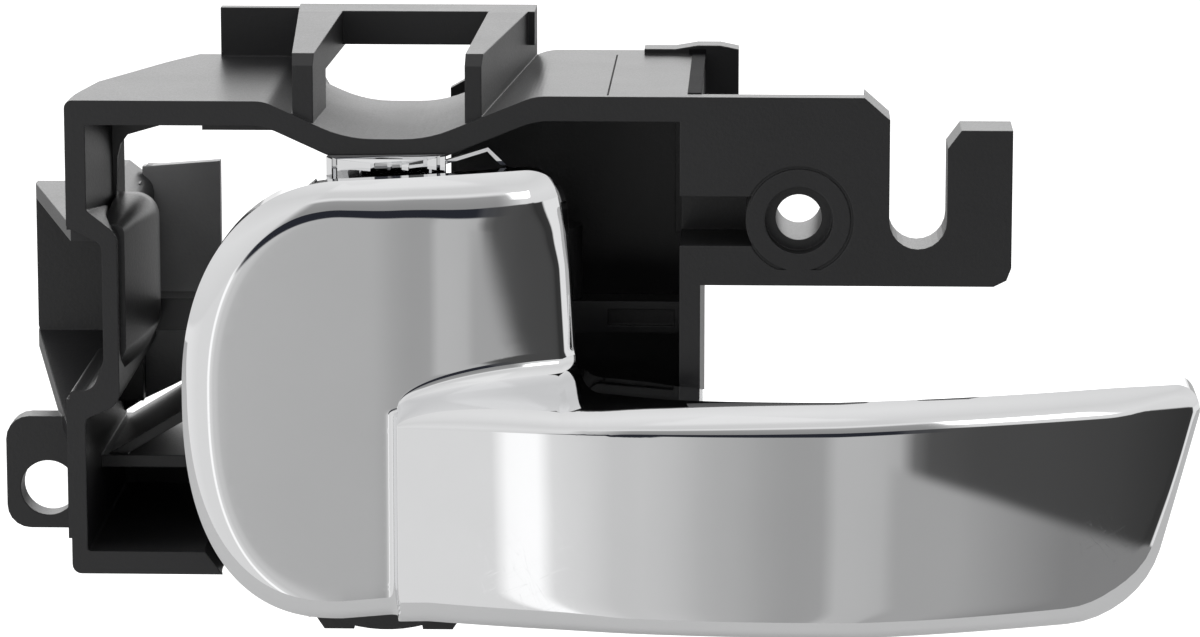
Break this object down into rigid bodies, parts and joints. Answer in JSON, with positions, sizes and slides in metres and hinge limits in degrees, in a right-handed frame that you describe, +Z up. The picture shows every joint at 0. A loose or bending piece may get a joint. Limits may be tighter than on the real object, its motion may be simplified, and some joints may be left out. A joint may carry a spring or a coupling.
{
  "type": "car interior door handle",
  "caption": "Interior car door pull handle: a chrome-plated lever on a sprung vertical hinge in a black moulded housing with a forked hook, screw boss and side tab.",
  "frame": {"origin": "axis of the fixing screw's hole on the plane where the housing lies against the door", "axes": "+X to the right as the passenger sees it, +Z up, -Y out of the door towards the passenger"},
  "size_m": [0.1522, 0.058, 0.0753],
  "materials": {
    "black_plastic": "fine matte texture",
    "chrome_plating": "mirror",
    "pin_steel": "zinc plated",
    "spring_steel": "drawn wire",
    "bush_plastic": "natural acetal",
    "bumper_rubber": "matte",
    "clip_plastic": "natural acetal"
  },
  "bodies": {
    "housing_body": {"housing": "black_plastic", "pivot_pin": "pin_steel", "retaining_clip": "pin_steel", "return_spring": "spring_steel", "rest_bumper": "bumper_rubber", "travel_bumper": "bumper_rubber"},
    "lever_body": {"lever": "chrome_plating", "upper_bush": "bush_plastic", "lower_bush": "bush_plastic"},
    "rod_clip_body": {"rod_clip": "clip_plastic"}
  },
  "joints": [
    {"name": "lever_pivot", "type": "hinge", "parent": "housing_body", "child": "lever_body", "pos_m": [-0.052, -0.0115, -0.02], "axis": [0, 0, -1], "range_deg": [0, 34], "stiffness_Nm_per_rad": 0.25, "springref_deg": -34.38, "deforming": ["return_spring"]},
    {"name": "rod_clip_swivel", "type": "hinge", "parent": "lever_body", "child": "rod_clip_body", "pos_m": [-0.052, 0.0165, -0.008], "axis": [0, 0, 1], "range_deg": [-40, 40]}
  ]
}
